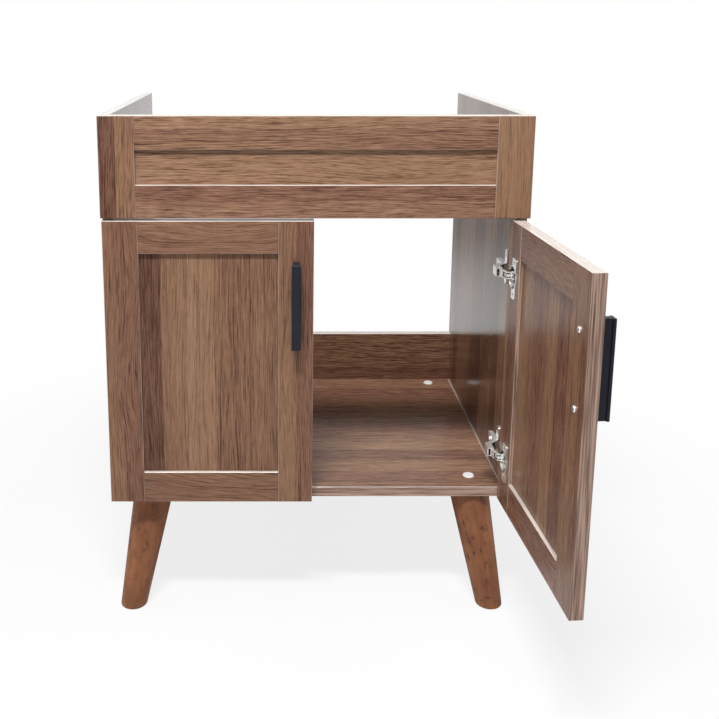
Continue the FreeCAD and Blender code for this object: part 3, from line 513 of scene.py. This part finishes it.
# Legs: how much each layer moves the tone, and the lacquer
LEG_MIDDLE_TONE = 0.54
RINGS_WEIGHT = 0.30
LEG_FIBRE_WEIGHT = 0.40
CLOUD_WEIGHT = 0.85
SMUDGE_RISE = (0.56, 0.74)
SMUDGE_WEIGHT = 0.32
STAIN_STOPS = (0.24, 0.74)
LACQUER_IOR = 1.45
LACQUER_SPECULAR = 0.2
LACQUER_ROUGHNESS = 0.48
LACQUER_GRAIN = 0.14
RINGS_HEIGHT = 0.4
LEG_BUMP = 0.12
LEG_DEPTH = 0.0004


def stained_leg(name, lean, seed):
    """Lacquered solid wood with its grain along the leg, which leans outwards."""
    finish = bpy.context.scene.vanity_finish
    graph, connect = new_surface(name, {"IOR": LACQUER_IOR, "Specular IOR Level": LACQUER_SPECULAR})
    x, y, z = places(graph)
    x = x + z * lean[0] + seed * LEG_SEED_X
    y = y + z * lean[1] + seed * LEG_SEED_Y
    drift = graph.layer(LEG_DRIFT, x, y, z)
    rings = graph.layer(LEG_RINGS, x + drift * RING_SWAY, y, z)
    fibre = graph.layer(LEG_FIBRE, x, y, z)
    cloud = graph.layer(LEG_CLOUD, x, y, z, seed)
    smudge = graph.step(graph.layer(LEG_SMUDGE, x, y, z, seed), SMUDGE_RISE)
    tone = (rings.centred() * RINGS_WEIGHT + fibre.centred() * LEG_FIBRE_WEIGHT
            + cloud.centred() * CLOUD_WEIGHT - smudge * SMUDGE_WEIGHT + LEG_MIDDLE_TONE)
    colour = graph.tones(tone, STAIN_STOPS, (finish.stain_dark, finish.stain_light))
    rough = fibre.centred() * LACQUER_GRAIN + LACQUER_ROUGHNESS
    relief = graph.bump(fibre + rings * RINGS_HEIGHT, LEG_BUMP, LEG_DEPTH)
    return connect(Base_Color=colour, Roughness=rough, Normal=relief)


# Plating: clouds and drawing lines, which run upwards, and painted shade in corners
PLATE_CLOUD = Layer((90.0, 90.0, 90.0), detail=3.0, roughness=0.6)
LINE_STRETCH = 0.1
PLATE_CLOUD_WEIGHT = 0.7
PLATE_LINE_WEIGHT = 0.3
PLATE_STOPS = (0.30, 0.65)
CORNER_SAMPLES = 8
CORNER_REACH = 0.007
CORNER_RISE = (0.20, 0.65)
PAINTED_CORNER_SHADE = 0.12
CLOUD_ROUGHNESS = 0.16
LINE_ROUGHNESS = 0.10
PLATE_BUMP = 0.06
FINE_DEPTH = 0.0002


def plated(name, colour, roughness, fineness, tarnish):
    """Plated metal with faint drawing lines, cloudy sheen, a little dulling and painted shade in its corners.

    fineness is how many drawing lines there are to a metre.
    """
    graph, connect = new_surface(name, {"Metallic": 1.0})
    x, y, z = places(graph)
    cloud = graph.layer(PLATE_CLOUD, x, y, z)
    lines = graph.layer(Layer((fineness, fineness, fineness * LINE_STRETCH)), x, y, z)
    sheen = cloud * PLATE_CLOUD_WEIGHT + lines * PLATE_LINE_WEIGHT
    tint = graph.tones(sheen, PLATE_STOPS, (scaled(colour, 1.0 - tarnish), colour))
    # Painted shade: the colour darkens where the surroundings close in, in corners and creases
    room = graph.value("ShaderNodeAmbientOcclusion", {"samples": CORNER_SAMPLES},
                       {"Distance": CORNER_REACH}, "AO")
    tint = graph.blend(graph.step(room, CORNER_RISE), opaque(scaled(colour, PAINTED_CORNER_SHADE)), tint)
    rough = cloud.centred() * CLOUD_ROUGHNESS + lines.centred() * LINE_ROUGHNESS + roughness
    return connect(Base_Color=tint, Roughness=rough, Normal=graph.bump(lines, PLATE_BUMP, FINE_DEPTH))


# Pulls: drawn lines along their length and clouds
PULL_LINES = Layer((2600.0, 2600.0, 30.0))
PULL_CLOUD = Layer((60.0, 60.0, 25.0), detail=3.0)
PULL_WEIGHT = 0.5
PULL_STOPS = (0.25, 0.75)
PULL_SHADES = (0.7, 1.3)
PULL_IOR = 1.5
PULL_SPECULAR = 0.22
PULL_ROUGHNESS = 0.40
PULL_LINE_ROUGHNESS = 0.14
PULL_CLOUD_ROUGHNESS = 0.08
PULL_BUMP = 0.05


def black_anodised(name):
    """Black anodised extrusion with fine drawn lines along its length."""
    black = bpy.context.scene.vanity_finish.pull_black
    graph, connect = new_surface(name, {"IOR": PULL_IOR, "Specular IOR Level": PULL_SPECULAR})
    x, y, z = places(graph)
    lines = graph.layer(PULL_LINES, x, y, z)
    cloud = graph.layer(PULL_CLOUD, x, y, z)
    shades = [scaled(black, shade) for shade in PULL_SHADES]
    tint = graph.tones((cloud + lines) * PULL_WEIGHT, PULL_STOPS, shades)
    rough = lines.centred() * PULL_LINE_ROUGHNESS + cloud.centred() * PULL_CLOUD_ROUGHNESS + PULL_ROUGHNESS
    return connect(Base_Color=tint, Roughness=rough, Normal=graph.bump(lines, PULL_BUMP, FINE_DEPTH))


# Caps: moulded grit and clouds
CAP_GRIT = Layer((2200.0, 2200.0, 2200.0))
CAP_CLOUD = Layer((160.0, 160.0, 160.0))
CAP_STOPS = (0.3, 0.7)
CAP_SHADE = 0.95
CAP_IOR = 1.46
CAP_ROUGHNESS = 0.36
GRIT_ROUGHNESS = 0.12
CAP_BUMP = 0.05


def moulded_white(name):
    """White moulded plastic with a fine texture."""
    white = bpy.context.scene.vanity_finish.cap_white
    graph, connect = new_surface(name, {"IOR": CAP_IOR})
    x, y, z = places(graph)
    grit = graph.layer(CAP_GRIT, x, y, z)
    tint = graph.tones(graph.layer(CAP_CLOUD, x, y, z), CAP_STOPS, (scaled(white, CAP_SHADE), white))
    rough = grit.centred() * GRIT_ROUGHNESS + CAP_ROUGHNESS
    return connect(Base_Color=tint, Roughness=rough, Normal=graph.bump(grit, CAP_BUMP, FINE_DEPTH))


# Dowels: short fibre
DOWEL_FIBRE = Layer((40.0, 900.0, 900.0))
DOWEL_STOPS = (0.3, 0.7)
DOWEL_SHADE = 0.75
DOWEL_IOR = 1.45
DOWEL_ROUGHNESS = 0.6
DOWEL_GRAIN = 0.1
DOWEL_BUMP = 0.1
DOWEL_DEPTH = 0.0003


def plain_beech(name):
    """Turned beech with short flecks."""
    beech = bpy.context.scene.vanity_finish.beech
    graph, connect = new_surface(name, {"IOR": DOWEL_IOR})
    x, y, z = places(graph)
    fibre = graph.layer(DOWEL_FIBRE, x, y, z)
    tint = graph.tones(fibre, DOWEL_STOPS, (scaled(beech, DOWEL_SHADE), beech))
    rough = fibre.centred() * DOWEL_GRAIN + DOWEL_ROUGHNESS
    return connect(Base_Color=tint, Roughness=rough, Normal=graph.bump(fibre, DOWEL_BUMP, DOWEL_DEPTH))


def put_on(node, material):
    """Give a CAD piece one material."""
    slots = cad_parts[node].data.materials
    slots.clear()
    slots.append(material)


# Boards of the carcass, the apron and the doors
# The side panels' lower tone is painted shade for the inside of the cabinet, and it darkens their outer faces
# as well
SIDE_BOARD = Board("Z", "X", tone=-0.19, strips=0.26, glossy=True)
SIDE_SEEDS = {"left": 1.0, "right": 2.0}
BOTTOM_BOARD = Board("X", "Z", seed=3.0, tone=-0.01, contrast=1.2, strips=0.2)
BACK_BOARD = Board("X", "Y", seed=4.0, tone=-0.22, contrast=1.1, strips=0.14)
APRON_BOARDS = {
    "left_stile": Board("Z", "Y", seed=5.33, tone=-0.12, contrast=0.9),
    "right_stile": Board("Z", "Y", seed=6.29, tone=-0.09, contrast=0.7),
    "top_rail": Board("X", "Y", seed=7.18, tone=-0.02, contrast=1.4),
    "bottom_rail": Board("X", "Y", seed=8.42, tone=0.05, contrast=1.35),
    "panel": Board("X", "Y", seed=9.48, tone=-0.03, contrast=1.45),
}
DOOR_BOARDS = {
    "hinge_stile": Board("Z", "Y", tone=-0.08, contrast=0.85, sway=0.07),
    "pull_stile": Board("Z", "Y", tone=-0.08, contrast=0.85, sway=0.04),
    "panel": Board("Z", "Y", tone=-0.10, contrast=0.85, sway=0.03),
    "top_rail": Board("X", "Y", tone=-0.05, contrast=0.85, sway=0.10),
    "bottom_rail": Board("X", "Y", tone=-0.04, contrast=0.85, sway=0.10),
}
DOOR_SEEDS = {
    "hinge_stile": {"left": 10.60, "right": 20.33},
    "pull_stile": {"left": 11.79, "right": 21.45},
    "panel": {"left": 12.47, "right": 22.70},
    "top_rail": {"left": 13.90, "right": 23.31},
    "bottom_rail": {"left": 14.44, "right": 24.19},
}
LEVEL_DIGITS = 4


def door_turn(side):
    """How far a door stands open at rest, from its panel's long side in plan, to turn its grain with it."""
    spots = [vertex.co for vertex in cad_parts[f"{side}_door_panel"].data.vertices]

    def order(spot):
        return round(spot.y, LEVEL_DIGITS), spot.x

    span = max(spots, key=order) - min(spots, key=order)
    if abs(span.x) > abs(span.y):
        return 0.0
    return math.atan2(span.x, span.y) - math.pi / 2


class VANITY_OT_carcass(bpy.types.Operator):
    """Walnut on the side panels, the bottom panel and the back rail"""

    bl_idname = "vanity.dress_carcass"
    bl_label = "Carcass boards"

    def execute(self, context):
        for side, seed in SIDE_SEEDS.items():
            put_on(f"{side}_side_panel", walnut(f"walnut_{side}_side", SIDE_BOARD._replace(seed=seed)))
        ends = max(corner[0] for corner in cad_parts["bottom_panel"].bound_box)
        put_on("bottom_panel", walnut("walnut_bottom", BOTTOM_BOARD._replace(ends=ends)))
        put_on("back_rail", walnut("walnut_back_rail", BACK_BOARD))
        return {"FINISHED"}


class VANITY_OT_apron(bpy.types.Operator):
    """Walnut on the apron: upright grain on its stiles and level grain on its rails and panel"""

    bl_idname = "vanity.dress_apron"
    bl_label = "Apron"

    def execute(self, context):
        for piece, board in APRON_BOARDS.items():
            put_on(f"apron_{piece}", walnut(f"walnut_apron_{piece}", board))
        return {"FINISHED"}


class VANITY_OT_doors(bpy.types.Operator):
    """Walnut on the doors: upright grain on stiles and panels and level grain on rails"""

    bl_idname = "vanity.dress_doors"
    bl_label = "Doors"

    def execute(self, context):
        for piece, board in DOOR_BOARDS.items():
            for side, seed in DOOR_SEEDS[piece].items():
                node = f"{side}_door_{piece}"
                cut = board._replace(seed=seed, turn=door_turn(side))
                put_on(node, walnut(f"walnut_{node}", cut))
        return {"FINISHED"}


class VANITY_OT_legs(bpy.types.Operator):
    """Stained wood on the legs, with the grain along each leg's lean"""

    bl_idname = "vanity.dress_legs"
    bl_label = "Legs"

    def execute(self, context):
        lean = context.scene.vanity_finish.leg_lean
        seed = 1.0
        for end, back in (("front", -1), ("rear", 1)):
            for side, right in (("left", -1), ("right", 1)):
                node = f"{end}_{side}_leg"
                put_on(node, stained_leg(f"stain_{node}", (right * lean, back * lean), seed))
                seed += 1.0
        return {"FINISHED"}


class VANITY_OT_pulls(bpy.types.Operator):
    """Black anodising on the pulls"""

    bl_idname = "vanity.dress_pulls"
    bl_label = "Pulls"

    def execute(self, context):
        black = black_anodised("black_anodised")
        for side in SIDES:
            put_on(f"{side}_door_pull", black)
        return {"FINISHED"}


class VANITY_OT_hinges(bpy.types.Operator):
    """Nickel plate on the hinges' plates, arms, links and cups, and plain steel on their pins"""

    bl_idname = "vanity.dress_hinges"
    bl_label = "Hinges"

    def execute(self, context):
        finish = context.scene.vanity_finish
        nickel = plated("nickel_plate", finish.nickel, roughness=0.30, fineness=900.0, tarnish=0.10)
        steel = plated("pin_steel", finish.zinc, roughness=0.32, fineness=1500.0, tarnish=0.15)
        for side in SIDES:
            for level in ("upper", "lower"):
                for piece in ("plate", "arm", "cup"):
                    put_on(f"{side}_{level}_hinge_{piece}", nickel)
            put_on(f"{side}_outer_links", nickel)
            put_on(f"{side}_inner_links", nickel)
            put_on(f"{side}_hinge_cup_pins", steel)
        put_on("hinge_arm_pins", steel)
        return {"FINISHED"}


class VANITY_OT_fittings(bpy.types.Operator):
    """Zinc on screws, bolts, cams and brackets, brass on inserts, beech on dowels and white on caps"""

    bl_idname = "vanity.dress_fittings"
    bl_label = "Fittings"

    def execute(self, context):
        finish = context.scene.vanity_finish
        zinc = plated("zinc_plate", finish.zinc, roughness=0.36, fineness=700.0, tarnish=0.25)
        bright = plated("screw_zinc", finish.nickel, roughness=0.40, fineness=1200.0, tarnish=0.15)
        brass = plated("insert_brass", finish.brass, roughness=0.3, fineness=900.0, tarnish=0.2)
        for node in ("apron_brackets", "cam_locks"):
            put_on(node, zinc)
        for node in ("apron_bracket_screws", "cam_bolts", "leg_bolts", "hinge_plate_screws",
                     "hinge_arm_screws"):
            put_on(node, bright)
        for side in SIDES:
            put_on(f"{side}_door_pull_screws", bright)
            put_on(f"{side}_hinge_cup_screws", bright)
        put_on("leg_inserts", brass)
        put_on("board_dowels", plain_beech("dowel_beech"))
        put_on("leg_bolt_caps", moulded_white("cap_plastic"))
        return {"FINISHED"}


# Floor: distances from the origin, in metres, at which the shadow fades out, the white ring that
# mirror-like surfaces see begins and ends, and the backdrop begins for them, and the white in the shadow
SHADOW_FADE = (0.45, 1.1)
SHADOW_WHITE = 0.80
RING_START = (0.75, 1.25)
RING_END = (1.25, 2.5)
BACKDROP_START = (5.0, 8.0)


def seen_rays(graph):
    """Three values, each 1 for its rays: from the eye, from mirror-like surfaces and from clear ones."""
    path = graph.node("ShaderNodeLightPath", {}, {})
    kinds = ("Is Camera Ray", "Is Glossy Ray", "Is Transmission Ray")
    return [Value(graph, path.outputs[kind]) for kind in kinds]


def pale_ground(stage):
    """Floor material: near white, lit and shaded as usual, with the white of the backdrop mixed in."""
    material = bpy.data.materials.new("pale_floor")
    material.use_nodes = True
    tree = material.node_tree
    tree.nodes.clear()
    graph = Graph(tree)
    lit = graph.value("ShaderNodeBsdfDiffuse", {}, {"Color": opaque(stage.floor_white)})
    glow = graph.value("ShaderNodeEmission", {}, {"Color": opaque(WHITE), "Strength": 1.0})
    spot = graph.value("ShaderNodeTexCoord", {}, {}, "Object")
    reach = graph.value("ShaderNodeVectorMath", {"operation": "LENGTH"}, {0: spot}, "Value")
    eye, mirror, clear = seen_rays(graph)
    near = graph.step(reach, SHADOW_FADE) * (1.0 - SHADOW_WHITE) + SHADOW_WHITE
    # For mirror-like surfaces the ring is a painted pool of light on the floor, and the dusk inside it a
    # painted shadow of the cabinet
    ring = graph.step(reach, RING_START) * (1 - graph.step(reach, RING_END))
    gleam = (ring * (stage.floor_gleam - stage.floor_dusk)
             + graph.step(reach, BACKDROP_START) * (1.0 - stage.floor_dusk) + stage.floor_dusk)
    share = (eye + clear).clamped() * near + mirror * gleam
    mixed = graph.value("ShaderNodeMixShader", {}, {0: share, 1: lit, 2: glow})
    graph.node("ShaderNodeOutputMaterial", {}, {"Surface": mixed})
    return material


def white_floor(scene):
    """A square floor under the cabinet."""
    stage = scene.vanity_stage
    half = stage.floor_size / 2
    corners = [(-half, -half, 0), (half, -half, 0), (half, half, 0), (-half, half, 0)]
    mesh = bpy.data.meshes.new("floor")
    mesh.from_pydata(corners, [], [(0, 1, 2, 3)])
    mesh.materials.append(pale_ground(stage))
    floor = bpy.data.objects.new("floor", mesh)
    scene.collection.objects.link(floor)


def white_room(scene):
    """Surroundings that look white and give a weak, even light."""
    stage = scene.vanity_stage
    scene.world = scene.world or bpy.data.worlds.new("white_room")
    scene.world.use_nodes = True
    tree = scene.world.node_tree
    tree.nodes.clear()
    graph = Graph(tree)
    eye, mirror, clear = seen_rays(graph)
    strength = (eye + mirror + clear).clamped() * (1.0 - stage.sky) + stage.sky
    sky = graph.value("ShaderNodeBackground", {}, {"Color": opaque(WHITE), "Strength": strength})
    graph.node("ShaderNodeOutputWorld", {}, {"Surface": sky})


class Lamp(NamedTuple):
    """Where a soft lamp stands, the point that it is turned to, its size, and which power it takes."""

    place: tuple
    aim: tuple
    size: tuple
    power: str


FRONT_AIM = (0.0, -0.1, 0.42)
TOP_AIM = (0.0, -0.3, 0.5)
SIDE_AIM = (0.0, 0.3, 0.45)
LAMPS = {
    "key_lamp": Lamp((-0.25, -1.30, 2.50), FRONT_AIM, (0.9, 0.2), "key_power"),
    "fill_lamp": Lamp((-0.45, -2.80, 1.05), FRONT_AIM, (1.4, 1.0), "fill_power"),
    "top_lamp": Lamp((0.0, -0.9, 2.8), TOP_AIM, (1.8, 0.8), "top_power"),
    "left_lamp": Lamp((-2.4, 0.3, 1.35), SIDE_AIM, (2.4, 2.4), "side_power"),
    "right_lamp": Lamp((2.4, 0.3, 1.35), SIDE_AIM, (2.4, 2.4), "side_power"),
}


def soft_lamps(scene):
    """The rectangular lamps round the cabinet."""
    for name, lamp in LAMPS.items():
        light = bpy.data.lights.new(name, "AREA")
        light.shape = "RECTANGLE"
        light.size, light.size_y = lamp.size
        light.energy = getattr(scene.vanity_stage, lamp.power)
        item = bpy.data.objects.new(name, light)
        item.location = lamp.place
        item.rotation_euler = (Vector(lamp.aim) - Vector(lamp.place)).to_track_quat("-Z", "Y").to_euler()
        scene.collection.objects.link(item)


SENSOR_WIDTH = 36.0
NEAREST = 0.05
FURTHEST = 60.0


def front_camera(scene):
    """The camera in front of the cabinet, looking a little down."""
    stage = scene.vanity_stage
    camera = bpy.data.cameras.new("camera")
    camera.sensor_width = SENSOR_WIDTH
    camera.lens = stage.lens
    camera.shift_x = stage.shift_x
    camera.shift_y = stage.shift_y
    camera.clip_start = NEAREST
    camera.clip_end = FURTHEST
    viewer = bpy.data.objects.new("camera", camera)
    viewer.location = stage.camera_place
    viewer.rotation_euler = (math.pi / 2 - stage.camera_pitch, 0.0, 0.0)
    scene.collection.objects.link(viewer)
    scene.camera = viewer


class VANITY_OT_stage(bpy.types.Operator):
    """White floor and surroundings, soft lamps and the camera"""

    bl_idname = "vanity.build_stage"
    bl_label = "Stage"

    def execute(self, context):
        scene = context.scene
        white_floor(scene)
        white_room(scene)
        soft_lamps(scene)
        front_camera(scene)
        scene.view_settings.view_transform = "Standard"
        return {"FINISHED"}


STEPS = (VANITY_OT_carcass, VANITY_OT_apron, VANITY_OT_doors, VANITY_OT_legs, VANITY_OT_pulls,
         VANITY_OT_hinges, VANITY_OT_fittings, VANITY_OT_stage)


class VANITY_PT_panel(bpy.types.Panel):
    """Sidebar panel that lists the steps and the values"""

    bl_idname = "VANITY_PT_panel"
    bl_label = "Vanity cabinet"
    bl_space_type = "VIEW_3D"
    bl_region_type = "UI"
    bl_category = "Vanity"

    def draw(self, context):
        for step in STEPS:
            self.layout.operator(step.bl_idname)
        for group in (context.scene.vanity_finish, context.scene.vanity_stage):
            for name in group.__annotations__:
                self.layout.prop(group, name)


CLASSES = (VanityFinish, VanityStage, *STEPS, VANITY_PT_panel)


def register():
    for item in CLASSES:
        bpy.utils.register_class(item)
    bpy.types.Scene.vanity_finish = PointerProperty(type=VanityFinish)
    bpy.types.Scene.vanity_stage = PointerProperty(type=VanityStage)


def unregister():
    del bpy.types.Scene.vanity_stage
    del bpy.types.Scene.vanity_finish
    for item in reversed(CLASSES):
        bpy.utils.unregister_class(item)


def main():
    register()
    bpy.ops.vanity.dress_carcass()
    bpy.ops.vanity.dress_apron()
    bpy.ops.vanity.dress_doors()
    bpy.ops.vanity.dress_legs()
    bpy.ops.vanity.dress_pulls()
    bpy.ops.vanity.dress_hinges()
    bpy.ops.vanity.dress_fittings()
    bpy.ops.vanity.build_stage()


if __name__ == "__main__":
    main()
